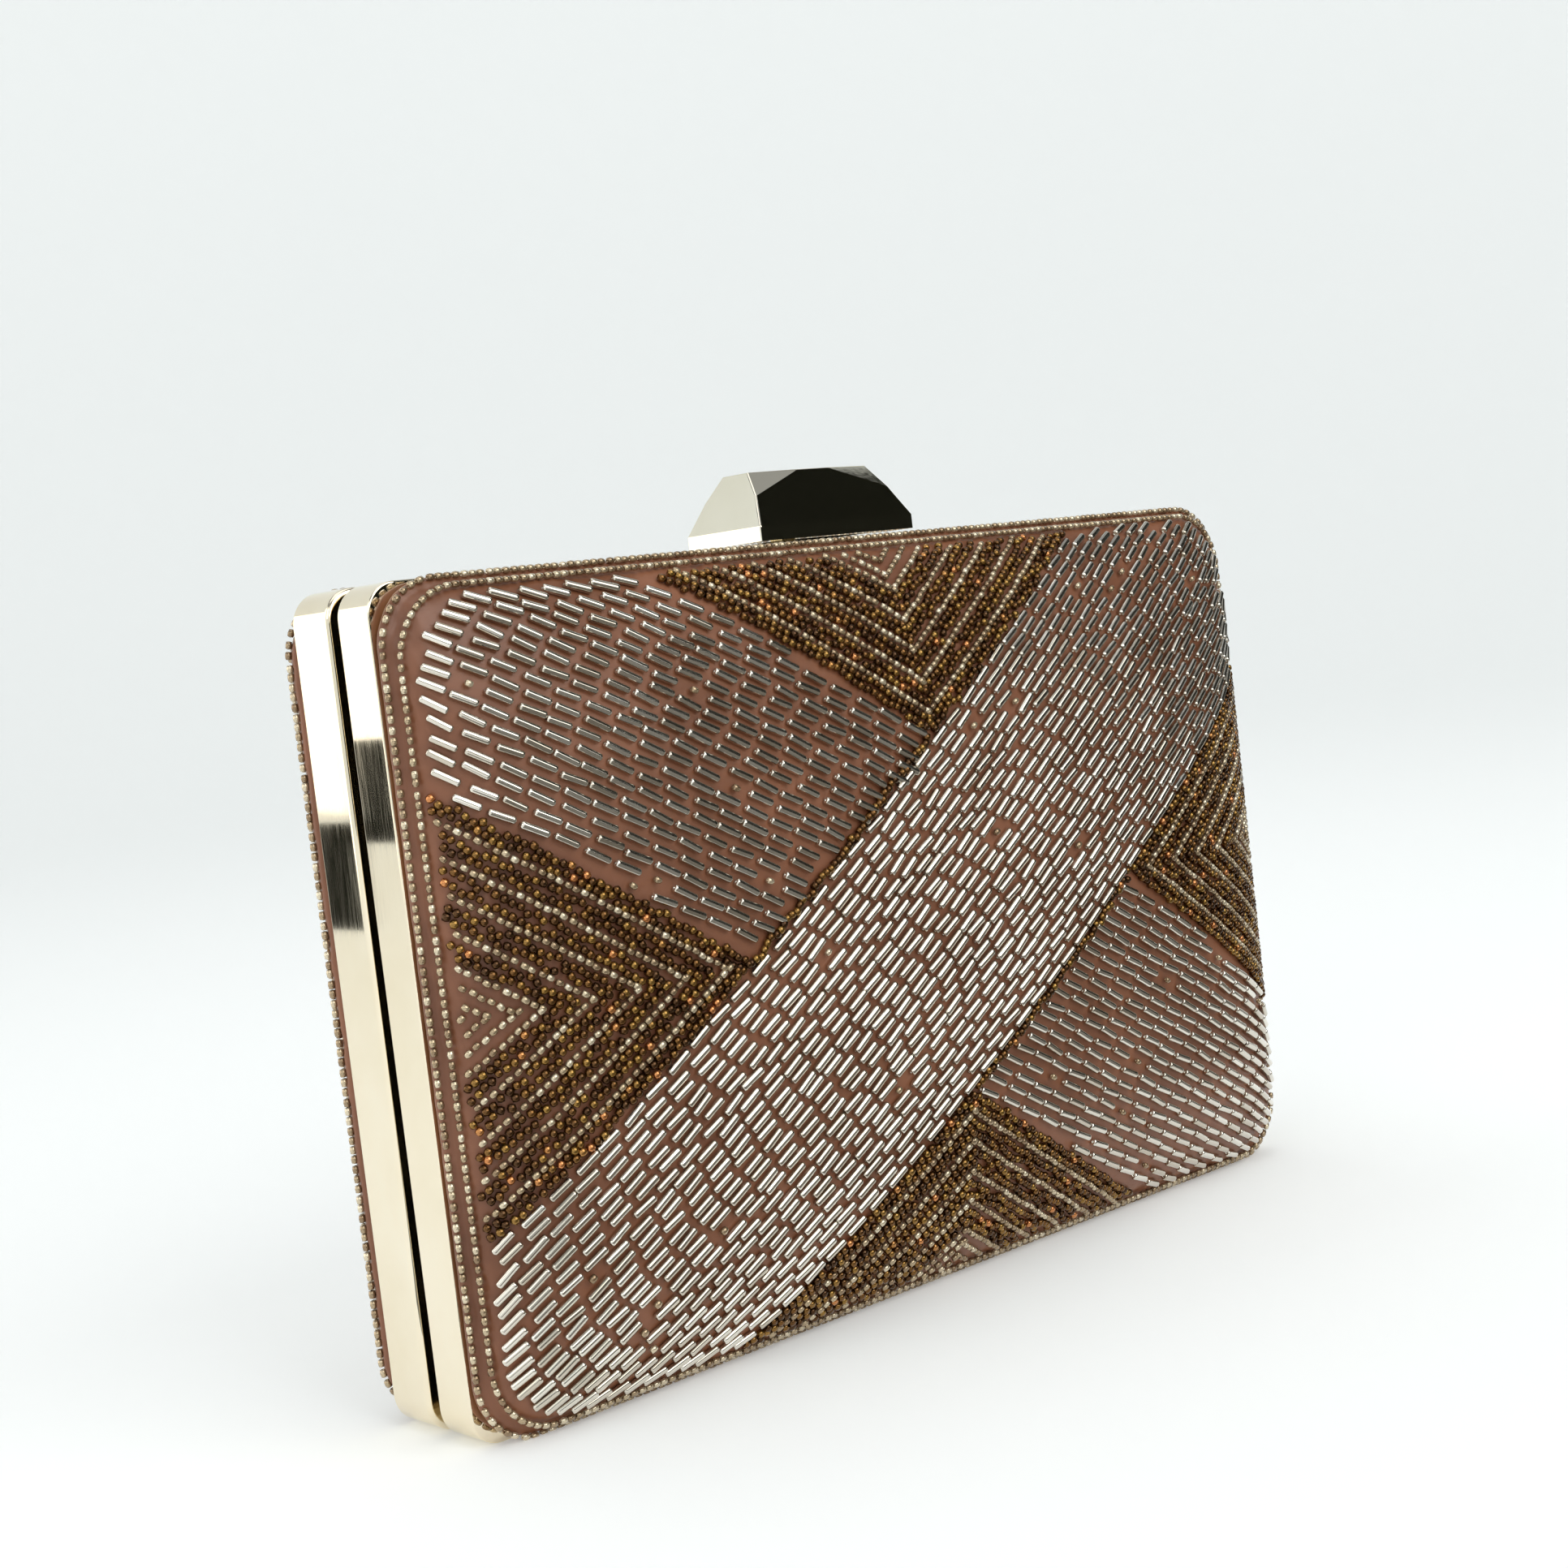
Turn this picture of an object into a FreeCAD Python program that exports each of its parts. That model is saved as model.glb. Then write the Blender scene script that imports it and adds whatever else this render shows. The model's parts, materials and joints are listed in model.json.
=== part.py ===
import FreeCAD, Part
import math
import os

from FreeCAD import Vector

# A box clutch: two metal half frames hinged along the bottom, each holding a padded, satin-covered
# and beaded shell, with a faceted bar on top that rocks back to let the front half go.
# Millimetres and degrees. X runs along the bag, -Y is its front, +Z is up.
# The origin is on the floor under the middle of the bag.

# ---- frames -------------------------------------------------------------------------------
FRAME_WIDTH = 190.5          # over both side walls
FRAME_HEIGHT = 127.0         # over the top and bottom walls
FRAME_DEPTH = 20.8           # front edge of the front frame to back edge of the back frame
FRAME_CORNER = 5.0           # outer corner radius
FRAME_WALL = 1.4
FRAME_GAP = 2.75             # daylight between the closed frames
GAP_CENTRE = -0.725          # the daylight lies a little in front of the middle
FLANGE_THICKNESS = 1.2       # rim flange beside the gap, which covers the halves' raw rims
FLANGE_OVERHANG = 0.2        # flange past the lining and past the hinge leaves
FLANGE_CORNER = 6.0
GAP_EDGE_ROUND = {-1: 0.3, 1: 0.8}   # outer edge beside the gap, front frame and back frame
OUTER_EDGE_ROUND = 0.3       # outer edge beside the beadwork

# ---- padded halves ------------------------------------------------------------------------
PILLOW_CORNER = 10.0         # corner radius over the beads
PILLOW_WALL = 2.0            # straight stretch outside the frame, before the dome starts
PILLOW_CROWN = 16.5          # how far the satin domes out past the frame
DOME_SECTIONS = 8            # cross-sections that shape the dome, with straight facets between
DOME_LAST_ANGLE = 84.0       # quarter-ellipse angle of the last section, which is flat
CORNER_GROWTH = 0.8          # how fast the corners get rounder towards the crown
ENDS_GROWTH = 3.0            # how late the long and short sides' slopes even out
COVER_CLEARANCE = 0.1        # satin to the frame's wall
COVER_THICKNESS = 0.4
PADDING_THICKNESS = 1.2
SHELL_THICKNESS = 0.8
LINING_THICKNESS = 0.6
LAYER_GAP = 0.1
SEAT_GAP = 0.5               # layer rims to the flange, room for rivet tails
BEAD_LAYER = 1.4
BEAD_GAP = 0.05
BEAD_RIM_GAP = 0.15          # beads to the frame's edge

# ---- closing lip --------------------------------------------------------------------------
LIP_CLEARANCE = 0.3          # to the front frame's flange, which slides over it
LIP_SEAT_GAP = 0.02
LIP_THICKNESS = 0.8
LIP_REACH = 1.5              # past the gap, into the front frame
LIP_STRIP = 0.9              # depth left behind the notch for the latch

# ---- hinges -------------------------------------------------------------------------------
HINGE_OFFSET = 60.0          # each hinge's middle from the bag's middle
HINGE_LENGTH = 18.0
HINGE_FLOOR_GAP = 0.2        # barrel to the floor
KNUCKLE_COUNT = 5
KNUCKLE_INSET = 0.175        # barrel to each frame's gap face
KNUCKLE_GAP = 0.15
KNUCKLE_CLEARANCE = 0.2      # around the other leaf's knuckles
HINGE_PIN_RADIUS = 0.6
PIN_CLEARANCE = 0.05
PIN_HEAD_RADIUS = 0.9
PIN_HEAD = 0.5
LEAF_THICKNESS = 0.8
LEAF_MARGIN = 0.05           # leaf past its rivets' heads
LEAF_RIVET_SPACING = 10.0
LEAF_RIVET_GAP = 0.15        # barrel to the rivets' heads

# ---- rivets -------------------------------------------------------------------------------
RIVET_RADIUS = 0.6
RIVET_HEAD_RADIUS = 1.0
RIVET_HEAD = 0.3
RIVET_CLEARANCE = 0.03

# ---- latch: heights are below the frames' top, or from the pivot --------------------------
PLATE_HALF_WIDTH = 8.0       # catch plate and clasp bracket
PLATE_TOP_DROP = 1.8
PLATE_HEIGHT = 10.7
PLATE_THICKNESS = 0.8
PLATE_RIVET_OFFSET = 6.2
PLATE_RIVET_DROP = 3.4
CATCH_DROP = 1.3             # lower edge of the catch plate's window, below the pivot
BRACKET_WINDOW_DROP = 2.5
WINDOW_RISE = 2.7            # top of both windows, above the pivot
WINDOW_SIDE_CLEARANCE = 0.7
PIVOT_BEHIND_GAP = 4.55      # behind the back frame's gap face
PIVOT_RADIUS = 0.8
PIVOT_HEAD_RADIUS = 1.2
EAR_INNER = 4.4              # inner face of each bracket ear from the middle
EAR_THICKNESS = 0.8
EAR_HALF_HEIGHT = 2.1
EAR_REACH = 2.8              # ear behind the pivot
EAR_LIP_GAP = 0.28           # top of the ear to the closing lip
LEVER_THICKNESS = 3.0
LEVER_HUB_RADIUS = 2.2
LEVER_HUB_GAP = 0.3
STEM_DEPTH = 3.0
ARM_THICKNESS = 1.3
ARM_RISE = 1.1               # top of the arm above the pivot
HOOK_LENGTH = 1.4
HOOK_CLEARANCE = 0.2         # hook tip over the catch edge, and behind the plate's face
SLOT_SIDE_CLEARANCE = 0.4
SLOT_BEFORE = 1.9            # slot in front of the pivot
SLOT_BEHIND = 3.1
HEAD_HALF_LENGTH = 10.0      # the lever's head, which the bar is screwed to
HEAD_BEFORE = 3.4
HEAD_BEHIND = 2.2
HEAD_THICKNESS = 1.2
LUG_RISE = 2.5               # underside of the spring's lug, above the pivot
LUG_HEIGHT = 0.9
LUG_DEPTH = 1.2
LUG_BEHIND = 0.75
LUG_ROOT = 1.0               # lug inside the stem
LUG_END_GAP = 0.2

# ---- clasp bar ----------------------------------------------------------------------------
CAP_FRAME_GAP = 1.0          # above the frames
CAP_BAND_HEIGHT = 2.4        # upright band round the foot
CAP_SLOPE_HEIGHT = 9.4
CAP_BASE_HALF_LENGTH = 17.8
CAP_TOP_HALF_LENGTH = 13.7
CAP_BEFORE_PIVOT = 5.0       # middle of the bar, in front of the pivot
CAP_BASE_HALF_DEPTH = 9.4
CAP_TOP_HALF_DEPTH = 4.4
CAP_EDGE_ROUND = 0.35
FACET_START = 3.3            # corner facet on the top edge, from the middle
FACET_END_SETBACK = 1.2      # corner facet on the end's top edge, from the face
FACET_FOOT_RISE = 5.2        # corner facet's low point on the hip, above the band
RECESS_HALF_LENGTH = 11.0
RECESS_BEFORE = 5.7          # recess in front of the bar's middle
RECESS_BEHIND = 7.6
RECESS_DEPTH = 3.2
SCREW_OFFSET = 6.5
SCREW_BEFORE_PIVOT = 0.6
SCREW_RADIUS = 0.7
SCREW_CLEARANCE = 0.04
SCREW_LENGTH = 4.5           # past the lever's head, into the bar
SCREW_HEAD_RADIUS = 1.4
SCREW_HEAD = 0.9

# ---- clasp spring -------------------------------------------------------------------------
SPRING_COIL_RADIUS = 1.5
SPRING_WIRE_RADIUS = 0.22
SPRING_PITCH = 0.6
SPRING_TURNS = 3.25
SPRING_END_GAP = 0.3         # last coil to the ear
SPRING_LEG = 3.6

# ---- values worked out from the ones above -------------------------------------------------
FRONT = -1
BACK = 1
HALF_NAMES = {FRONT: "front", BACK: "back"}
MIDDLE_Z = FRAME_HEIGHT / 2
GAP_FACE = {side: GAP_CENTRE + side * FRAME_GAP / 2 for side in (FRONT, BACK)}
OUTER_EDGE = {side: side * FRAME_DEPTH / 2 for side in (FRONT, BACK)}
FLANGE_BACK = {side: GAP_FACE[side] + side * FLANGE_THICKNESS for side in (FRONT, BACK)}

COVER_INSET = FRAME_WALL + COVER_CLEARANCE
COVER_CORNER = PILLOW_CORNER - BEAD_LAYER - BEAD_GAP
PADDING_LEVEL = COVER_THICKNESS + LAYER_GAP
SHELL_LEVEL = PADDING_LEVEL + PADDING_THICKNESS + LAYER_GAP
LINING_LEVEL = SHELL_LEVEL + SHELL_THICKNESS + LAYER_GAP
LINING_INSET = COVER_INSET + LINING_LEVEL + LINING_THICKNESS

KNUCKLE_RADIUS = FRAME_GAP / 2 - KNUCKLE_INSET
HINGE_HEIGHT = HINGE_FLOOR_GAP + KNUCKLE_RADIUS
LEAF_RIVET_HEIGHT = HINGE_HEIGHT + KNUCKLE_RADIUS + LEAF_RIVET_GAP + RIVET_HEAD_RADIUS
LEAF_TOP = LEAF_RIVET_HEIGHT + RIVET_HEAD_RADIUS + LEAF_MARGIN
FLANGE_WIDTH = max(LINING_INSET, LEAF_TOP) + FLANGE_OVERHANG
FLANGE_REACH = {FRONT: FLANGE_WIDTH, BACK: FLANGE_WIDTH + LIP_CLEARANCE}

LIP_OUTER_INSET = FLANGE_REACH[BACK] + LIP_SEAT_GAP
LIP_INNER_INSET = LIP_OUTER_INSET + LIP_THICKNESS

PLATE_TOP = FRAME_HEIGHT - PLATE_TOP_DROP
PLATE_BOTTOM = PLATE_TOP - PLATE_HEIGHT
PLATE_RIVET_HEIGHT = FRAME_HEIGHT - PLATE_RIVET_DROP
PIVOT_Y = GAP_FACE[BACK] + PIVOT_BEHIND_GAP
PIVOT_Z = FRAME_HEIGHT - LIP_INNER_INSET - EAR_LIP_GAP - EAR_HALF_HEIGHT
CATCH_EDGE = PIVOT_Z - CATCH_DROP
WINDOW_TOP = PIVOT_Z + WINDOW_RISE
WINDOW_HALF_WIDTH = LEVER_THICKNESS / 2 + WINDOW_SIDE_CLEARANCE

CAP_CENTRE_Y = PIVOT_Y - CAP_BEFORE_PIVOT
CAP_BOTTOM = FRAME_HEIGHT + CAP_FRAME_GAP
CAP_BAND_TOP = CAP_BOTTOM + CAP_BAND_HEIGHT
CAP_TOP = CAP_BAND_TOP + CAP_SLOPE_HEIGHT
FACET_FOOT = CAP_BAND_TOP + FACET_FOOT_RISE
SCREW_Y = PIVOT_Y - SCREW_BEFORE_PIVOT
LEVER_TOP = CAP_BOTTOM + RECESS_DEPTH

TOLERANCE = 0.001            # for telling whether an edge lies at a depth


def box(x0, x1, y0, y1, z0, z1):
    """A box between two opposite corners."""
    return Part.makeBox(x1 - x0, y1 - y0, z1 - z0, Vector(x0, y0, z0))


def cylinder_x(x0, x1, y, z, radius):
    return Part.makeCylinder(radius, x1 - x0, Vector(x0, y, z), Vector(1, 0, 0))


def cylinder_y(x, y0, y1, z, radius):
    return Part.makeCylinder(radius, y1 - y0, Vector(x, y0, z), Vector(0, 1, 0))


def cylinder_z(x, y, z0, z1, radius):
    return Part.makeCylinder(radius, z1 - z0, Vector(x, y, z0), Vector(0, 0, 1))


def rounded_outline(half_width, half_height, corner, y):
    """A rounded rectangle around the bag's middle, upright at depth y."""
    straight_x = half_width - corner
    straight_z = half_height - corner
    edges = []
    for quarter in range(4):
        start = math.radians(90 * quarter)
        middle = start + math.radians(45)
        end = start + math.radians(90)
        sign_x = 1 if quarter in (0, 3) else -1
        sign_z = 1 if quarter in (0, 1) else -1
        centre = Vector(sign_x * straight_x, y, MIDDLE_Z + sign_z * straight_z)
        points = [centre + Vector(math.cos(a), 0, math.sin(a)) * corner for a in (start, middle, end)]
        if edges:
            edges.append(Part.LineSegment(last_point, points[0]))
        else:
            first_point = points[0]
        edges.append(Part.Arc(*points))
        last_point = points[-1]
    edges.append(Part.LineSegment(last_point, first_point))
    return Part.Wire([edge.toShape() for edge in edges])


def frame_prism(inset, corner, y0, y1):
    """A solid rounded rectangle, inset from the frames' outer face, from depth y0 to y1."""
    outline = rounded_outline(FRAME_WIDTH / 2 - inset, FRAME_HEIGHT / 2 - inset, corner, y0)
    return Part.Face(outline).extrude(Vector(0, y1 - y0, 0))


def half_frame(side):
    """One half frame: an outer wall with a flange beside the gap."""
    gap_face = GAP_FACE[side]
    outer_edge = OUTER_EDGE[side]
    frame = frame_prism(0, FRAME_CORNER, gap_face, outer_edge)
    for y, radius in ((gap_face, GAP_EDGE_ROUND[side]), (outer_edge, OUTER_EDGE_ROUND)):
        rim = [edge for edge in frame.Edges
               if max(abs(edge.BoundBox.YMin - y), abs(edge.BoundBox.YMax - y)) < TOLERANCE]
        frame = frame.makeFillet(radius, rim)
    inner_corner = COVER_CORNER + COVER_CLEARANCE
    beyond = side
    pocket = frame_prism(FRAME_WALL, inner_corner, FLANGE_BACK[side], outer_edge + beyond)
    opening = frame_prism(FLANGE_REACH[side], FLANGE_CORNER, gap_face - beyond, outer_edge + beyond)
    frame = frame.cut(pocket).cut(opening)
    for hole in hinge_rivet_holes(side) + latch_rivet_holes(side):
        frame = frame.cut(hole)
    if side == BACK:
        frame = frame.cut(stem_slot())
    return frame


def dome(side, level, base_y):
    """Everything inside one layer's outer surface, from base_y out to its crown.

    level is how deep the surface lies below the satin: the outline, corners and crown all
    shrink by it. The cross-sections follow a quarter ellipse from the rim to the crown.
    """
    half_width = FRAME_WIDTH / 2 - COVER_INSET - level
    half_height = FRAME_HEIGHT / 2 - COVER_INSET - level
    corner = COVER_CORNER - level
    rise = PILLOW_CROWN - level - PILLOW_WALL
    rim_y = OUTER_EDGE[side] + side * PILLOW_WALL
    outlines = []
    for section in range(DOME_SECTIONS + 1):
        angle = math.radians(DOME_LAST_ANGLE * section / DOME_SECTIONS)
        inward = 1 - math.cos(angle)
        up = math.sin(angle) / math.sin(math.radians(DOME_LAST_ANGLE))
        section_height = half_height * (1 - inward)
        extra_width = (half_width - half_height) * (1 - inward ** ENDS_GROWTH)
        roundness = corner / half_height
        roundness += (1 - roundness) * inward ** CORNER_GROWTH
        outlines.append(rounded_outline(section_height + extra_width, section_height,
                                        section_height * roundness, rim_y + side * rise * up))
    cap = Part.makeLoft(outlines, True, True)
    base = Part.Face(rounded_outline(half_width, half_height, corner, base_y))
    wall = base.extrude(Vector(0, rim_y - base_y, 0))
    return wall.fuse(cap)


def layer(side, level, thickness, base_y):
    """A skin of even thickness under the surface at this level, open towards the gap."""
    outer = dome(side, level, base_y)
    inner = dome(side, level + thickness, base_y - side)
    return outer.cut(inner)


def wrapped_layer(side, level, thickness):
    """A layer that is tucked into the frame, down to the flange."""
    skin = layer(side, level, thickness, FLANGE_BACK[side] + side * SEAT_GAP)
    if side == BACK:
        skin = skin.cut(stem_slot())
    return skin


def beadwork(side):
    """The closed envelope of the beads and their threads."""
    return layer(side, -BEAD_GAP - BEAD_LAYER, BEAD_LAYER, OUTER_EDGE[side] + side * BEAD_RIM_GAP)


def closing_lip():
    """The inner band round the back frame that bridges the gap, notched for the latch."""
    front_y = GAP_FACE[FRONT] - LIP_REACH
    back_y = FLANGE_BACK[BACK]
    band = frame_prism(LIP_OUTER_INSET, FLANGE_CORNER, front_y, back_y)
    band = band.cut(frame_prism(LIP_INNER_INSET, FLANGE_CORNER - LIP_THICKNESS, front_y, back_y))
    notch_half = PLATE_HALF_WIDTH + WINDOW_SIDE_CLEARANCE
    notch = box(-notch_half, notch_half, front_y, back_y - LIP_STRIP, MIDDLE_Z, FRAME_HEIGHT)
    return band.cut(notch)


def knuckle_spans(centre_x, side):
    """The stretches of the barrel that belong to one leaf."""
    pitch = HINGE_LENGTH / KNUCKLE_COUNT
    first = 0 if side == BACK else 1
    start = centre_x - HINGE_LENGTH / 2
    return [(start + i * pitch, start + (i + 1) * pitch) for i in range(first, KNUCKLE_COUNT, 2)]


def hinge_leaf(centre_x, side):
    """One leaf, flat against its frame's flange, with its knuckles round the pin."""
    y0, y1 = sorted((GAP_FACE[side], GAP_FACE[side] - side * LEAF_THICKNESS))
    leaf = box(centre_x - HINGE_LENGTH / 2, centre_x + HINGE_LENGTH / 2, y0, y1, HINGE_HEIGHT, LEAF_TOP)
    for x0, x1 in knuckle_spans(centre_x, -side):
        leaf = leaf.cut(cylinder_x(x0, x1, GAP_CENTRE, HINGE_HEIGHT, KNUCKLE_RADIUS + KNUCKLE_CLEARANCE))
    for x0, x1 in knuckle_spans(centre_x, side):
        ends = KNUCKLE_GAP / 2
        leaf = leaf.fuse(cylinder_x(x0 + ends, x1 - ends, GAP_CENTRE, HINGE_HEIGHT, KNUCKLE_RADIUS))
    bore = cylinder_x(centre_x - HINGE_LENGTH, centre_x + HINGE_LENGTH, GAP_CENTRE, HINGE_HEIGHT,
                      HINGE_PIN_RADIUS + PIN_CLEARANCE)
    leaf = leaf.cut(bore)
    for hole in hinge_rivet_holes(side):
        leaf = leaf.cut(hole)
    return leaf.removeSplitter()


def headed_pin(x0, x1, y, z, radius, head_radius, head_length):
    """A pin along X with a head outside each end."""
    pin = cylinder_x(x0, x1, y, z, radius)
    pin = pin.fuse(cylinder_x(x0 - head_length, x0, y, z, head_radius))
    return pin.fuse(cylinder_x(x1, x1 + head_length, y, z, head_radius))


def hinge_pin(centre_x):
    reach = HINGE_LENGTH / 2 + KNUCKLE_GAP
    return headed_pin(centre_x - reach, centre_x + reach, GAP_CENTRE, HINGE_HEIGHT,
                      HINGE_PIN_RADIUS, PIN_HEAD_RADIUS, PIN_HEAD)


def hinge_rivet_places():
    """Centres, as (x, z), of the rivets through each frame's two leaves."""
    half = LEAF_RIVET_SPACING / 2
    return [(centre + offset, LEAF_RIVET_HEIGHT) for centre in (-HINGE_OFFSET, HINGE_OFFSET)
            for offset in (-half, half)]


def latch_rivet_places():
    """Centres, as (x, z), of the rivets through each frame's latch plate."""
    return [(x, PLATE_RIVET_HEIGHT) for x in (-PLATE_RIVET_OFFSET, PLATE_RIVET_OFFSET)]


def rivet_holes(places, side):
    radius = RIVET_RADIUS + RIVET_CLEARANCE
    y0, y1 = sorted((FLANGE_BACK[side] + side, GAP_CENTRE))
    return [cylinder_y(x, y0, y1, z, radius) for x, z in places]


def hinge_rivet_holes(side):
    return rivet_holes(hinge_rivet_places(), side)


def latch_rivet_holes(side):
    return rivet_holes(latch_rivet_places(), side)


def rivets(places, side, plate_thickness):
    """Rivets through the flange and a plate on its gap side, with a low head at each end."""
    y0, y1 = sorted((FLANGE_BACK[side], GAP_FACE[side] - side * plate_thickness))
    shapes = []
    for x, z in places:
        rivet = cylinder_y(x, y0, y1, z, RIVET_RADIUS)
        rivet = rivet.fuse(cylinder_y(x, y0 - RIVET_HEAD, y0, z, RIVET_HEAD_RADIUS))
        shapes.append(rivet.fuse(cylinder_y(x, y1, y1 + RIVET_HEAD, z, RIVET_HEAD_RADIUS)))
    return Part.makeCompound(shapes)


def latch_plate(side, window_bottom):
    """A plate hung on the gap side of the flange, with a window for the lever's arm."""
    y0, y1 = sorted((GAP_FACE[side], GAP_FACE[side] - side * PLATE_THICKNESS))
    plate = box(-PLATE_HALF_WIDTH, PLATE_HALF_WIDTH, y0, y1, PLATE_BOTTOM, PLATE_TOP)
    plate = plate.cut(box(-WINDOW_HALF_WIDTH, WINDOW_HALF_WIDTH, y0, y1, window_bottom, WINDOW_TOP))
    for hole in latch_rivet_holes(side):
        plate = plate.cut(hole)
    return plate


def catch_plate():
    return latch_plate(FRONT, CATCH_EDGE)


def clasp_bracket():
    """The back frame's latch plate, with two ears bent back to carry the pivot pin."""
    bracket = latch_plate(BACK, PIVOT_Z - BRACKET_WINDOW_DROP)
    for x0 in (-EAR_INNER - EAR_THICKNESS, EAR_INNER):
        ear = box(x0, x0 + EAR_THICKNESS, GAP_FACE[BACK] - PLATE_THICKNESS, PIVOT_Y + EAR_REACH,
                  PIVOT_Z - EAR_HALF_HEIGHT, PIVOT_Z + EAR_HALF_HEIGHT)
        bracket = bracket.fuse(ear)
    bore = cylinder_x(-PLATE_HALF_WIDTH, PLATE_HALF_WIDTH, PIVOT_Y, PIVOT_Z, PIVOT_RADIUS + PIN_CLEARANCE)
    return bracket.cut(bore).removeSplitter()


def clasp_pivot_pin():
    reach = EAR_INNER + EAR_THICKNESS + KNUCKLE_GAP
    return headed_pin(-reach, reach, PIVOT_Y, PIVOT_Z, PIVOT_RADIUS, PIVOT_HEAD_RADIUS, PIN_HEAD)


def stem_slot():
    """The slot through the back frame's top wall, and all it holds, for the lever's stem."""
    half = LEVER_THICKNESS / 2 + SLOT_SIDE_CLEARANCE
    return box(-half, half, PIVOT_Y - SLOT_BEFORE, PIVOT_Y + SLOT_BEHIND, PIVOT_Z, CAP_BOTTOM)


def clasp_lever():
    """Hub, stem, head, hooked arm and spring lug, in one piece."""
    half = LEVER_THICKNESS / 2
    hub = cylinder_x(-EAR_INNER + LEVER_HUB_GAP, half, PIVOT_Y, PIVOT_Z, LEVER_HUB_RADIUS)
    stem = box(-half, half, PIVOT_Y - STEM_DEPTH / 2, PIVOT_Y + STEM_DEPTH / 2, PIVOT_Z, LEVER_TOP)
    head = box(-HEAD_HALF_LENGTH, HEAD_HALF_LENGTH, PIVOT_Y - HEAD_BEFORE, PIVOT_Y + HEAD_BEHIND,
               LEVER_TOP - HEAD_THICKNESS, LEVER_TOP)
    arm_top = PIVOT_Z + ARM_RISE
    hook_back = GAP_FACE[FRONT] - HOOK_CLEARANCE
    hook_front = hook_back - HOOK_LENGTH
    arm = box(-half, half, hook_front, PIVOT_Y, arm_top - ARM_THICKNESS, arm_top)
    hook = box(-half, half, hook_front, hook_back, CATCH_EDGE + HOOK_CLEARANCE, arm_top)
    lug_back = PIVOT_Y + LUG_BEHIND
    lug_bottom = PIVOT_Z + LUG_RISE
    lug = box(half - LUG_ROOT, EAR_INNER - LUG_END_GAP, lug_back - LUG_DEPTH, lug_back,
              lug_bottom, lug_bottom + LUG_HEIGHT)
    lever = hub.fuse([stem, head, arm, hook, lug])
    lever = lever.cut(cylinder_x(-EAR_INNER, EAR_INNER, PIVOT_Y, PIVOT_Z, PIVOT_RADIUS + PIN_CLEARANCE))
    for x in (-SCREW_OFFSET, SCREW_OFFSET):
        lever = lever.cut(cylinder_z(x, SCREW_Y, PIVOT_Z, CAP_TOP, SCREW_RADIUS + SCREW_CLEARANCE))
    return lever.removeSplitter()


def cap_rectangle(half_length, half_depth, z):
    """The bar's outline at one height."""
    signs = ((-1, -1), (1, -1), (1, 1), (-1, 1))
    corners = [Vector(sx * half_length, CAP_CENTRE_Y + sy * half_depth, z) for sx, sy in signs]
    return Part.makePolygon(corners + corners[:1])


def corner_facet(sign_x, sign_y):
    """A block whose face cuts one slanting triangular facet off the bar's top corner."""
    slope = (FACET_FOOT - CAP_BAND_TOP) / (CAP_TOP - CAP_BAND_TOP)
    hip_x = CAP_BASE_HALF_LENGTH + (CAP_TOP_HALF_LENGTH - CAP_BASE_HALF_LENGTH) * slope
    hip_y = CAP_BASE_HALF_DEPTH + (CAP_TOP_HALF_DEPTH - CAP_BASE_HALF_DEPTH) * slope
    on_top = Vector(sign_x * FACET_START, CAP_CENTRE_Y + sign_y * CAP_TOP_HALF_DEPTH, CAP_TOP)
    on_end = Vector(sign_x * CAP_TOP_HALF_LENGTH,
                    CAP_CENTRE_Y + sign_y * (CAP_TOP_HALF_DEPTH - FACET_END_SETBACK), CAP_TOP)
    on_hip = Vector(sign_x * hip_x, CAP_CENTRE_Y + sign_y * hip_y, FACET_FOOT)
    outward = (on_end - on_top).cross(on_hip - on_top).normalize()
    if outward.y * sign_y < 0:
        outward = -outward
    size = 2 * CAP_BASE_HALF_LENGTH
    block = Part.makeBox(size, size, size, Vector(-size / 2, -size / 2, 0))
    block.Placement = FreeCAD.Placement(on_top, FreeCAD.Rotation(Vector(0, 0, 1), outward))
    return block


def clasp_cap():
    """The faceted bar: an upright band, four sloping sides, a flat top and four corner facets."""
    bottom = cap_rectangle(CAP_BASE_HALF_LENGTH, CAP_BASE_HALF_DEPTH, CAP_BOTTOM)
    shoulder = cap_rectangle(CAP_BASE_HALF_LENGTH, CAP_BASE_HALF_DEPTH, CAP_BAND_TOP)
    top = cap_rectangle(CAP_TOP_HALF_LENGTH, CAP_TOP_HALF_DEPTH, CAP_TOP)
    cap = Part.makeLoft([bottom, shoulder], True, True).fuse(Part.makeLoft([shoulder, top], True, True))
    cap = cap.removeSplitter()
    for sign_x in (-1, 1):
        for sign_y in (-1, 1):
            cap = cap.cut(corner_facet(sign_x, sign_y))
    upper_edges = [edge for edge in cap.Edges if edge.BoundBox.ZMax > CAP_BOTTOM + TOLERANCE]
    cap = cap.makeFillet(CAP_EDGE_ROUND, upper_edges)
    cap = cap.cut(box(-RECESS_HALF_LENGTH, RECESS_HALF_LENGTH, CAP_CENTRE_Y - RECESS_BEFORE,
                      CAP_CENTRE_Y + RECESS_BEHIND, CAP_BOTTOM, LEVER_TOP))
    for x in (-SCREW_OFFSET, SCREW_OFFSET):
        cap = cap.cut(cylinder_z(x, SCREW_Y, CAP_BOTTOM, LEVER_TOP + SCREW_LENGTH + SCREW_CLEARANCE,
                                 SCREW_RADIUS + SCREW_CLEARANCE))
    return cap


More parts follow.
